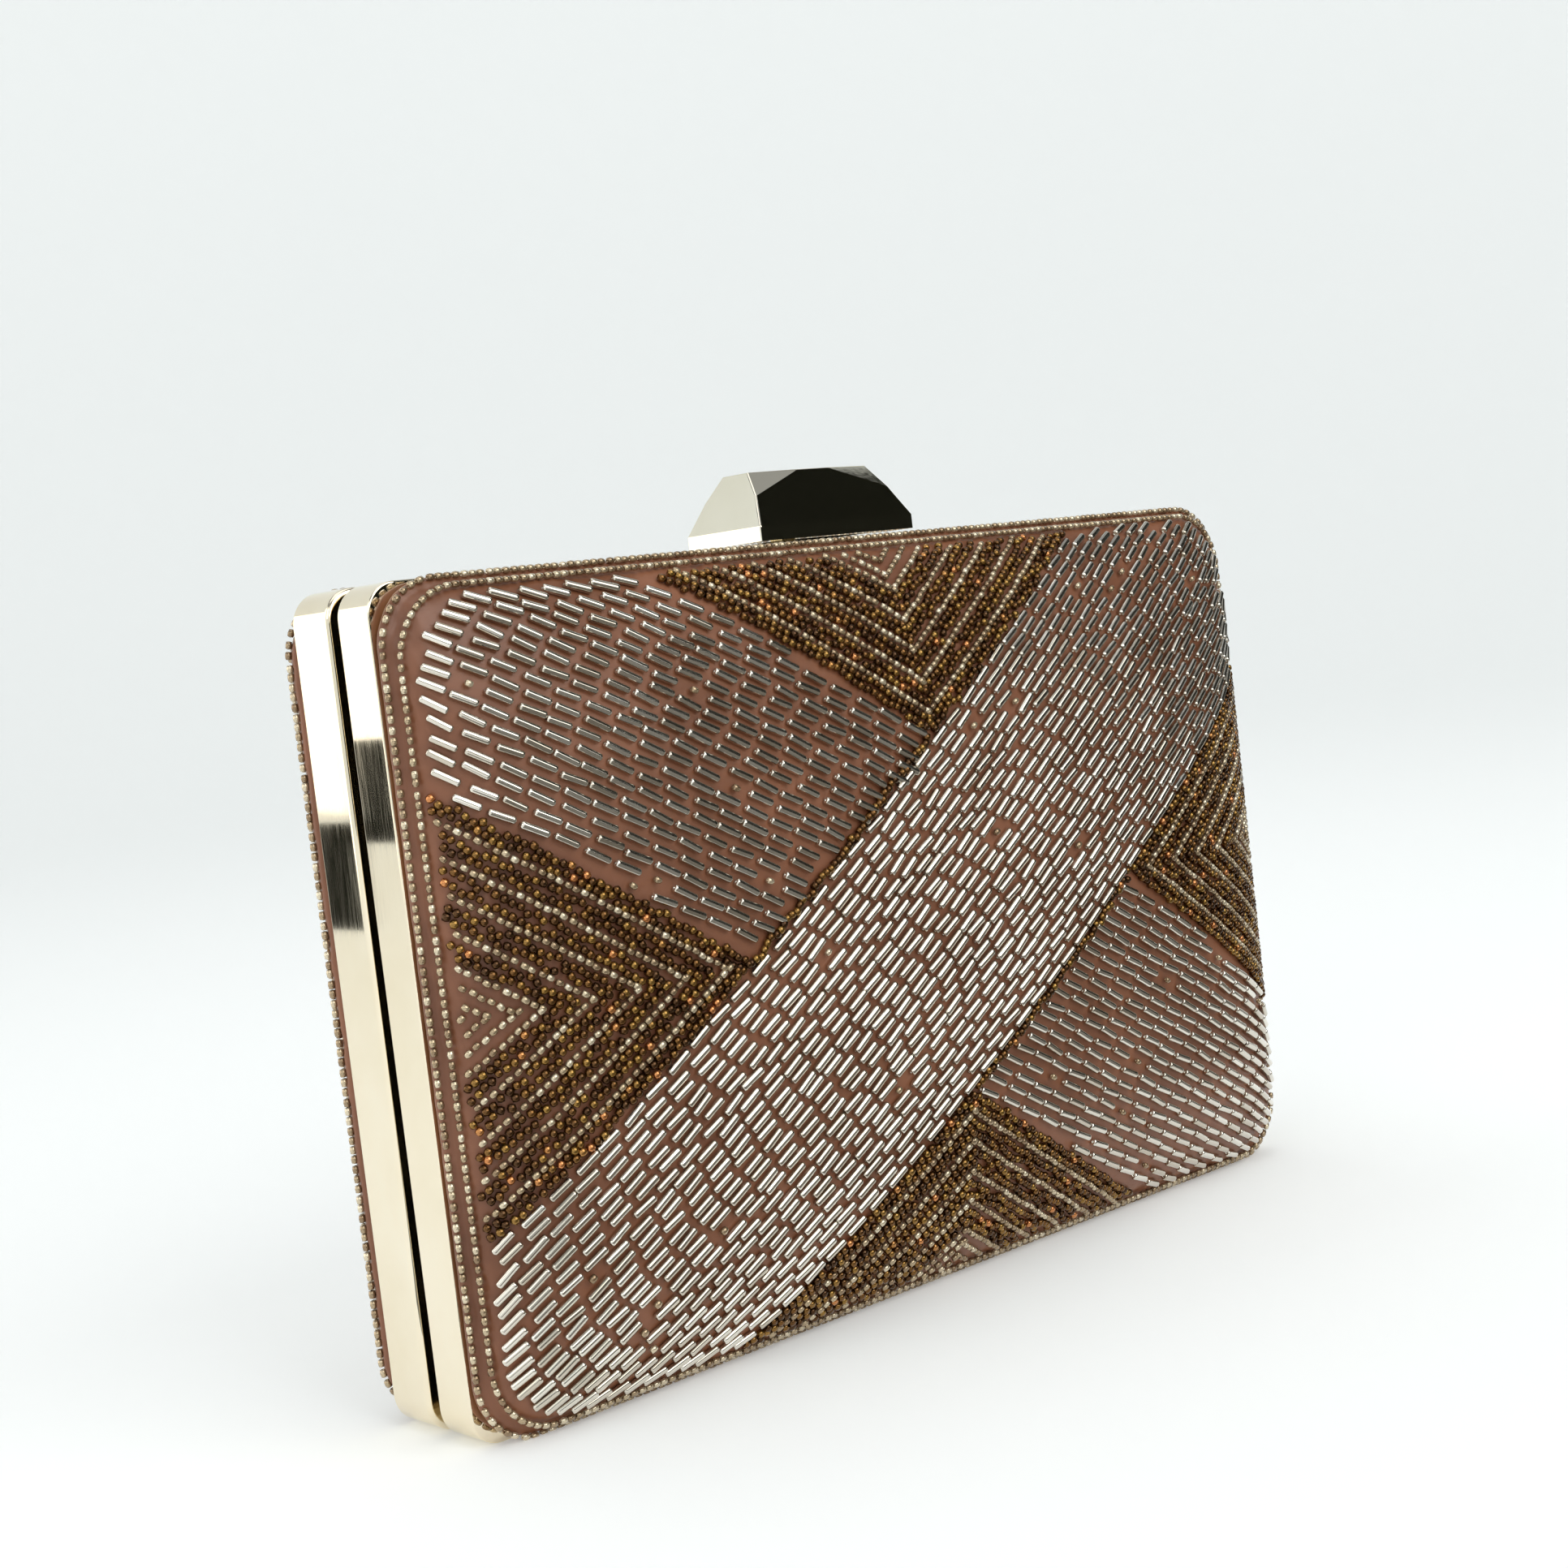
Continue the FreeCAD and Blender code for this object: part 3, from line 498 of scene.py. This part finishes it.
def wrinkle(travelled, arc):
    """Loose folds in the lining."""
    return fold_noise(travelled, arc, LINING_FOLDS) * min(1, arc / LINING_TAUT)


def no_folds(travelled, arc):
    """For a layer that lies flat on the one below."""
    return np.zeros_like(travelled)


def cloth_skin(name, side, level, thickness, folds):
    """A skin over the whole dome, tucked into the frame, folded by a function of its place."""
    panel = Panel(side, level)
    rings = []
    for step in range(TUCK_STEPS):
        x, z, _ = panel.outline(0.0, OUTLINE_COUNTS)
        y = panel.seat_y + (panel.edge_y - panel.seat_y) * step / TUCK_STEPS
        rings.append(np.stack([x, np.full_like(x, y), panel.middle_z + z], 1))
    for step in range(WALL_STEPS):
        x, z, travelled = panel.outline(0.0, OUTLINE_COUNTS)
        arc = PILLOW_WALL * step / WALL_STEPS
        points = np.stack([x, np.full_like(x, panel.edge_y + side * arc), panel.middle_z + z], 1)
        _, along_x, along_z = panel.distance(x, z, 0.0)
        outward = np.stack([along_x, np.zeros_like(x), along_z], 1)
        rings.append(points + outward * folds(travelled, arc)[:, None])
    for inward in (np.arange(RINGS) / (RINGS - 1)) ** 2 * CROWN_REACH:
        x, z, travelled = panel.outline(inward, OUTLINE_COUNTS)
        points, normals = panel.place(x, z, np.full_like(x, inward))
        arc = float(np.interp(inward, panel.inward_table, panel.arc_table))
        rings.append(points + normals * folds(travelled, arc)[:, None])
    count = len(rings[0])
    points = np.concatenate(rings)
    points[:, 2] = np.maximum(points[:, 2], FLOOR_GAP)
    ring_starts = np.arange(len(rings) - 1)[:, None] * count
    here = ring_starts + np.arange(count)
    beside = ring_starts + (np.arange(count) + 1) % count
    order = (here, beside, beside + count, here + count)
    faces = np.stack(order if side == FRONT else order[::-1], 2).reshape(-1, 4)
    made = make_object(name, points, faces)
    close_crown(made, (len(rings) - 1) * count, count, side)
    solid = made.modifiers.new("thickness", "SOLIDIFY")
    solid.thickness = thickness
    solid.offset = -1
    return made


def close_crown(skin, start, count, side):
    """Closes the small hole at the crown with one face."""
    mesh = bmesh.new()
    mesh.from_mesh(skin.data)
    mesh.verts.ensure_lookup_table()
    ring = [mesh.verts[start + i] for i in range(count)]
    face = mesh.faces.new(ring if side == FRONT else ring[::-1])
    face.smooth = True
    mesh.normal_update()
    mesh.to_mesh(skin.data)
    mesh.free()


# ============================================================================================
# Embroidery
# ============================================================================================

# How far the beads of each kind turn from their row.
BEAD_TURNS = {"bugles": math.radians(2.0), "cross_bugles": math.radians(2.0),
              "pale": math.radians(6.0), "amber": math.radians(30.0)}
ROW_COUNTS = (400, 300, 60)          # points that trace a row round the panel, as in OUTLINE_COUNTS
LINE_STEP = 0.25 * MM                # how finely a row looks for the ends of its stretch of cloth


class Embroidery:
    """Collects the beads of one panel, laid out on the flat cloth, and sews them on."""

    def __init__(self, side):
        self.side = side
        self.panel = Panel(side)
        self.found = {kind: [] for kind in BEAD_TURNS}

    def add(self, kind, flat_x, flat_z, angle):
        """Beads at flat places, lying at an angle, kept off the margin beside the frame."""
        points, normals, arc = self.panel.from_flat(flat_x * -self.side, flat_z)
        keep = arc > PATTERN_MARGIN
        turns = angle + RANDOM.normal(0, BEAD_TURNS[kind], len(points))
        along = np.stack([np.cos(turns) * -self.side, np.zeros_like(turns), np.sin(turns)], 1)
        self.found[kind].append((points[keep], along[keep], normals[keep]))

    def clear_of_margin(self, flat_x, flat_z):
        """Which flat places are far enough from the frame for the pattern."""
        return self.panel.from_flat(flat_x * -self.side, flat_z)[2] > PATTERN_MARGIN

    def add_row(self, arc, kind, pitch):
        """Beads threaded round the panel, at one distance from the frame, on the satin's roll."""
        inward = float(np.interp(arc, self.panel.arc_table, self.panel.inward_table))
        x, z, travelled = self.panel.outline(inward, ROW_COUNTS)
        count = int(travelled[-1] / pitch)
        stops = np.arange(count) + RANDOM.normal(0, EDGE_ROW_UNEVENNESS, count)
        stops = stops * travelled[-1] / count
        x = np.interp(stops, travelled, x)
        z = np.interp(stops, travelled, z)
        points, normals = self.panel.place(x, z, np.full_like(x, inward))
        points = points + normals * roll(arc)
        along = np.roll(points, -1, axis=0) - np.roll(points, 1, axis=0)
        self.found[kind].append((points, along, normals))

    def sewn(self, kind):
        """Places, directions and normals of all the beads of one kind."""
        return [np.concatenate(part) for part in zip(*self.found[kind])]


def band_coordinates(flat_x, flat_z, angle):
    """Distance along and across a diagonal band through the middle."""
    along = flat_x * math.cos(angle) + flat_z * math.sin(angle)
    across = flat_z * math.cos(angle) - flat_x * math.sin(angle)
    return along, across


def flat_places(along, across, angle):
    """The flat place at a distance along and across a diagonal band."""
    flat_x = along * math.cos(angle) - across * math.sin(angle)
    flat_z = along * math.sin(angle) + across * math.cos(angle)
    return flat_x, flat_z


def fill_rows(work, kind, angle, row_pitch, rows, reach, allowed):
    """Rows of bugles, each laid end to end from where its stretch of cloth starts."""
    pitch = BUGLE_LENGTH + BUGLE_END_GAP
    line = np.arange(-reach, reach, LINE_STEP)
    for row in range(-rows, rows + 1):
        flat_x, flat_z = flat_places(line, np.full_like(line, row * row_pitch), angle)
        free = allowed(flat_x, flat_z) & work.clear_of_margin(flat_x, flat_z)
        changes = np.flatnonzero(np.diff(np.concatenate(([0], free.astype(int), [0]))))
        for first, last in zip(changes[::2], changes[1::2]):
            start = line[first] + RANDOM.uniform(*ROW_STARTS)
            room = (last - first) * LINE_STEP
            count = int((room + BUGLE_END_GAP) / pitch)
            if count == 0:
                continue
            spacing = min((room + BUGLE_END_GAP) / count, ROW_STRETCH * pitch)
            along = start + BUGLE_LENGTH / 2 + spacing * np.arange(count)
            along = along + np.cumsum(RANDOM.normal(0, END_UNEVENNESS, count))
            across = row * row_pitch + RANDOM.normal(0, ROW_UNEVENNESS, count)
            flat_x, flat_z = flat_places(along, across, angle)
            spare = RANDOM.random(count) < SPARE_SHARE
            work.add(kind, flat_x[~spare], flat_z[~spare], angle)
            work.add("pale", flat_x[spare], flat_z[spare], angle)


def sew_bands(work, reach):
    """The two diagonal bands of bugles; the second passes behind the first."""
    edge = BAND_HALF_WIDTH - BUGLE_RADIUS
    clear = BAND_HALF_WIDTH + AMBER_RADIUS * 2

    def in_first(flat_x, flat_z):
        return np.abs(band_coordinates(flat_x, flat_z, BAND_ANGLE)[1]) < edge

    def in_second(flat_x, flat_z):
        first_across = np.abs(band_coordinates(flat_x, flat_z, BAND_ANGLE)[1])
        second_across = np.abs(band_coordinates(flat_x, flat_z, -BAND_ANGLE)[1])
        return (first_across > clear) & (second_across < edge)

    fill_rows(work, "bugles", BAND_ANGLE, BAND_ROW_PITCH, int(edge / BAND_ROW_PITCH), reach, in_first)
    fill_rows(work, "cross_bugles", CROSS_BUGLE_ANGLE, CROSS_ROW_PITCH, int(reach / CROSS_ROW_PITCH),
              reach, in_second)


def sew_band_edges(work, reach):
    """An uneven line of amber seeds along each edge of the first band, where the bands meet."""
    for edge in (-1, 1):
        along = np.arange(-reach, reach, BAND_EDGE_CROWDING * AMBER_PITCH)
        across = edge * (BAND_HALF_WIDTH + AMBER_RADIUS)
        across = across + RANDOM.normal(0, BAND_EDGE_UNEVENNESS, len(along))
        flat_x, flat_z = flat_places(along, across, BAND_ANGLE)
        keep = np.abs(band_coordinates(flat_x, flat_z, -BAND_ANGLE)[1]) < BAND_HALF_WIDTH
        work.add("amber", flat_x[keep], flat_z[keep], BAND_ANGLE)


def chevron(work, kind, depth, pitch, reach):
    """One row round each of the four triangles, at this depth inside their two edges."""
    edge = BAND_HALF_WIDTH + depth
    unevenness = AMBER_UNEVENNESS if kind == "amber" else PALE_UNEVENNESS
    for sign_a in (-1, 1):
        for sign_b in (-1, 1):
            for angle, sign, other in ((BAND_ANGLE, sign_a, sign_b), (-BAND_ANGLE, sign_b, sign_a)):
                start = RANDOM.random() * pitch
                along = np.arange(-reach + start, reach, pitch)
                along = along + RANDOM.normal(0, PITCH_UNEVENNESS * pitch, len(along))
                across = sign * edge + RANDOM.normal(0, unevenness, len(along))
                flat_x, flat_z = flat_places(along, across, angle)
                beyond = band_coordinates(flat_x, flat_z, -angle)[1] * other
                keep = beyond > edge - MITRE_OVERLAP * pitch
                work.add(kind, flat_x[keep], flat_z[keep], angle)


def sew_triangles(work, reach):
    """Nested chevrons: pale rows with amber between, and small pale ones at each base."""
    for first in AMBER_FIRST:
        chevron(work, "amber", first, AMBER_PITCH, reach)
    depth = CHEVRON_FIRST
    while depth < TIP_START:
        chevron(work, "pale", depth, SEED_PITCH, reach)
        for behind in AMBER_ROWS:
            chevron(work, "amber", depth + behind, AMBER_PITCH, reach)
        depth += CHEVRON_PITCH
    while depth < TIP_DEPTH:
        chevron(work, "pale", depth, SEED_PITCH, reach)
        depth += TIP_PITCH


def embroider(side):
    """All the beads of one panel, as one mesh of each kind."""
    work = Embroidery(side)
    reach = ROW_REACH * math.hypot(work.panel.half_width, work.panel.half_height)
    sew_bands(work, reach)
    sew_band_edges(work, reach)
    sew_triangles(work, reach)
    for arc in EDGE_ROWS:
        work.add_row(arc, "pale", SEED_PITCH)
    half = HALVES[side]
    body = half + "_half"
    kinds = {
        "bugles": (bugle_template(), BUGLE_RADIUS * BEAD_SINK, BUGLE_GLASS),
        "cross_bugles": (bugle_template(), BUGLE_RADIUS * BEAD_SINK, BUGLE_GLASS),
        "pale": (seed_template(SEED_RADIUS, SEED_LENGTH, PALE_SIDES, PALE_BULGE),
                 SEED_RADIUS * BEAD_SINK + SEED_LIFT, PALE_GLASS),
        "amber": (seed_template(AMBER_RADIUS, AMBER_LENGTH, AMBER_SIDES, AMBER_BULGE),
                  AMBER_RADIUS * BEAD_SINK, AMBER_GLASS),
    }
    for kind, (template, lift, material) in kinds.items():
        places, along, normals = work.sewn(kind)
        beads = scatter(half + "_" + kind + "_beads", template, places, along, normals, lift)
        finish_piece(beads, body, material)
        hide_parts(half + "_beadwork")


# ============================================================================================
# Stage, lights and camera
# ============================================================================================

CAMERA_PLACE = Vector((-279.2, -299.8, 115.6)) * MM
CAMERA_YAW = 0.7299              # radians, from looking straight at the front
CAMERA_PITCH = 0.0706
CAMERA_ROLL = -0.1166
CAMERA_LENS = 54.53              # focal length in millimetres
CAMERA_SENSOR = 36.0
CAMERA_CLIP = (0.01, 20.0)

ROOM_FLOOR = 1.6                 # radius of the flat floor
ROOM_BEND = 0.9                  # radius of the curve up to the wall
ROOM_TOP = 2.6
ROOM_TURNS = 72
BEND_STEPS = 12
FLOOR_RINGS = (0.02, 0.3, 0.8, ROOM_FLOOR)
ROOM_COLOUR = (0.93, 0.94, 0.935, 1)
ROOM_GLOW_COLOUR = (0.97, 1.0, 0.99, 1)
ROOM_GLOW = 0.20

SKY_COLOUR = (0.95, 0.98, 1.0, 1)
SKY_STRENGTH = 0.35
ON_FLOOR = (0, 0, 0)
ON_BAG = (0, 0, 0.06)
# For each soft light: its place, what it points at, its size and its power in watts.
LAMPS = {
    "overhead": ((-0.1, 0.1, 1.3), ON_FLOOR, (1.2, 1.0), 3.7),
    "left": ((-1.1, -0.5, 0.7), ON_BAG, (0.6, 0.6), 1.5),
    "front": ((0.1, -1.0, 0.85), ON_BAG, (1.0, 0.85), 4.2),
}

NEAR_BLACK = (0.012, 0.012, 0.009)
GREY = (0.22, 0.21, 0.19)
WARM_WHITE = (1.0, 0.98, 0.93)
WINDOW_WHITE = (1.0, 1.0, 0.97)
# For each card: two lower corners, two upper corners, its colour and its glow.
CARDS = {
    # the dark squares that the two frames' side walls mirror
    "card_front_side": (((-0.279, 0.272, 0.064), (-0.279, 0.2985, 0.064)),
                        ((-0.279, 0.2985, 0.094), (-0.279, 0.272, 0.094)), NEAR_BLACK, 0.0),
    "card_back_side": (((-0.279, 0.2985, 0.038), (-0.279, 0.330, 0.038)),
                       ((-0.279, 0.330, 0.070), (-0.279, 0.2985, 0.070)), NEAR_BLACK, 0.0),
    # the dark side of the room, the floor and a low strip, in the beads and the clasp bar
    "card_room": (((1.5, 0.1, 0.0), (0.6, -1.4, 0.0)),
                  ((0.6, -1.4, 1.4), (1.5, 0.1, 1.4)), NEAR_BLACK, 0.0),
    "card_floor": (((-0.15, -0.05, 0.001), (1.2, -0.05, 0.001)),
                   ((1.2, -1.2, 0.001), (-0.15, -1.2, 0.001)), GREY, 0.0),
    "card_front": (((0.6, -1.4, 0.0), (-0.8, -1.2, 0.0)),
                   ((-0.8, -1.2, 0.25), (0.6, -1.4, 0.25)), NEAR_BLACK, 0.0),
    # a bright window high in front, and a bright wall on the left
    "card_window": (((-0.5, -1.0, 0.35), (0.55, -1.0, 0.35)),
                    ((0.55, -0.7, 1.3), (-0.5, -0.7, 1.3)), WINDOW_WHITE, 1.9),
    "card_left": (((-0.9, 0.2, 0.0), (-0.9, 2.0, 0.0)),
                  ((-0.9, 2.0, 0.9), (-0.9, 0.2, 0.9)), WARM_WHITE, 1.1),
}


def make_camera():
    """The camera stands in front and to the left of the bag, level with its top."""
    ahead = Vector((math.sin(CAMERA_YAW) * math.cos(CAMERA_PITCH),
                    math.cos(CAMERA_YAW) * math.cos(CAMERA_PITCH), -math.sin(CAMERA_PITCH)))
    right = Vector((math.cos(CAMERA_YAW), -math.sin(CAMERA_YAW), 0))
    up = right.cross(ahead)
    rolled_right = right * math.cos(CAMERA_ROLL) + up * math.sin(CAMERA_ROLL)
    rolled_up = up * math.cos(CAMERA_ROLL) - right * math.sin(CAMERA_ROLL)
    data = bpy.data.cameras.new("camera")
    data.sensor_width = CAMERA_SENSOR
    data.lens = CAMERA_LENS
    data.clip_start, data.clip_end = CAMERA_CLIP
    camera = bpy.data.objects.new("camera", data)
    turned = Matrix((rolled_right, rolled_up, -ahead)).transposed()
    camera.matrix_world = Matrix.Translation(CAMERA_PLACE) @ turned.to_4x4()
    bpy.context.scene.collection.objects.link(camera)
    bpy.context.scene.camera = camera


def area_light(name, place, target, size, power):
    """A rectangular soft light that points at a target."""
    data = bpy.data.lights.new(name, "AREA")
    data.shape = "RECTANGLE"
    data.size, data.size_y = size
    data.energy = power
    light = bpy.data.objects.new(name, data)
    turn = (Vector(target) - Vector(place)).to_track_quat("-Z", "Y")
    light.matrix_world = Matrix.Translation(place) @ turn.to_matrix().to_4x4()
    bpy.context.scene.collection.objects.link(light)


def make_room():
    """A round white sweep: floor, curved corner and wall in one."""
    turns = ROOM_TURNS
    profile = [(radius, 0.0) for radius in FLOOR_RINGS]
    for bend in np.linspace(0, math.pi / 2, BEND_STEPS)[1:]:
        profile.append((ROOM_FLOOR + ROOM_BEND * math.sin(bend), ROOM_BEND * (1 - math.cos(bend))))
    profile.append((ROOM_FLOOR + ROOM_BEND, ROOM_TOP))
    angles = [2 * math.pi * i / turns for i in range(turns)]
    points = [(radius * math.cos(angle), radius * math.sin(angle), height)
              for radius, height in profile for angle in angles]
    faces = [(ring * turns + i, ring * turns + (i + 1) % turns, (ring + 1) * turns + (i + 1) % turns,
              (ring + 1) * turns + i) for ring in range(len(profile) - 1) for i in range(turns)]
    faces.append(list(reversed(range(turns))))
    mesh = bpy.data.meshes.new("room")
    mesh.from_pydata(points, [], faces)
    mesh.polygons.foreach_set("use_smooth", [True] * len(mesh.polygons))
    room = bpy.data.objects.new("room", mesh)
    bpy.context.scene.collection.objects.link(room)
    material, _, shader = new_material("white_sweep", Roughness=0.8, Specular_IOR_Level=0.1)
    shader.inputs["Base Color"].default_value = ROOM_COLOUR
    shader.inputs["Emission Color"].default_value = ROOM_GLOW_COLOUR
    shader.inputs["Emission Strength"].default_value = ROOM_GLOW
    mesh.materials.append(material)


def card(name, lower, upper, colour, glow):
    """A card that only polished surfaces see, as a dark or a bright place in the room."""
    mesh = bpy.data.meshes.new(name)
    mesh.from_pydata(lower + upper, [], [(0, 1, 2, 3)])
    made = bpy.data.objects.new(name, mesh)
    bpy.context.scene.collection.objects.link(made)
    material, _, shader = new_material(name, Roughness=1.0, Specular_IOR_Level=0.0)
    shader.inputs["Base Color"].default_value = (*colour, 1)
    shader.inputs["Emission Color"].default_value = (*colour, 1)
    shader.inputs["Emission Strength"].default_value = glow
    mesh.materials.append(material)
    made.visible_camera = False
    made.visible_shadow = False
    made.visible_diffuse = False


def make_lights():
    """Soft lights overhead, from the left and in front, in a pale room."""
    world = bpy.data.worlds.new("world")
    bpy.context.scene.world = world
    world.use_nodes = True
    background = world.node_tree.nodes["Background"]
    background.inputs["Color"].default_value = SKY_COLOUR
    background.inputs["Strength"].default_value = SKY_STRENGTH
    for name, (place, target, size, power) in LAMPS.items():
        area_light(name, place, target, size, power)


def make_cards():
    """Dark and bright places that the side walls, the clasp bar and the beads reflect."""
    for name, (lower, upper, colour, glow) in CARDS.items():
        card(name, lower, upper, colour, glow)


# ============================================================================================
# The bag
# ============================================================================================

def dress_half(side):
    """Cover, padding, lining and beads of one half, in place of the design's plain solids."""
    half = HALVES[side]
    body = half + "_half"
    cover_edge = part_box(half + "_cover")[1].x
    padding_level = cover_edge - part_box(half + "_padding")[1].x
    lining_level = cover_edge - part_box(half + "_lining")[1].x
    cover = cloth_skin(half + "_satin_cover", side, 0.0, COVER_THICKNESS, pucker)
    finish_piece(cover, body, SATIN)
    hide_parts(half + "_cover")
    padding = cloth_skin(half + "_wadding", side, padding_level, WADDING_THICKNESS, no_folds)
    finish_piece(padding, body, WADDING)
    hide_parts(half + "_padding")
    lining = cloth_skin(half + "_satin_lining", side, lining_level, LINING_THICKNESS, wrinkle)
    finish_piece(lining, body, LINING)
    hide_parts(half + "_lining")
    embroider(side)


def finish_hard_parts():
    """The design's own metal and plastic pieces keep their shape and get their finish."""
    finishes = {"polished_frame": PLATE, "clasp_metal": CLASP_PLATE, "fittings": FITTINGS,
                "steel": STEEL, "shell": SHELL}
    slots = {part["node"]: part["material_slot"] for part in frame["record"]["subparts"]}
    for name, node in frame["nodes"].items():
        if slots[name] in finishes:
            node.data.materials.clear()
            node.data.materials.append(finishes[slots[name]])


make_camera()
make_room()
make_lights()
make_cards()
finish_hard_parts()
for half_side in (FRONT, BACK):
    dress_half(half_side)
bpy.context.scene.view_settings.view_transform = "Standard"
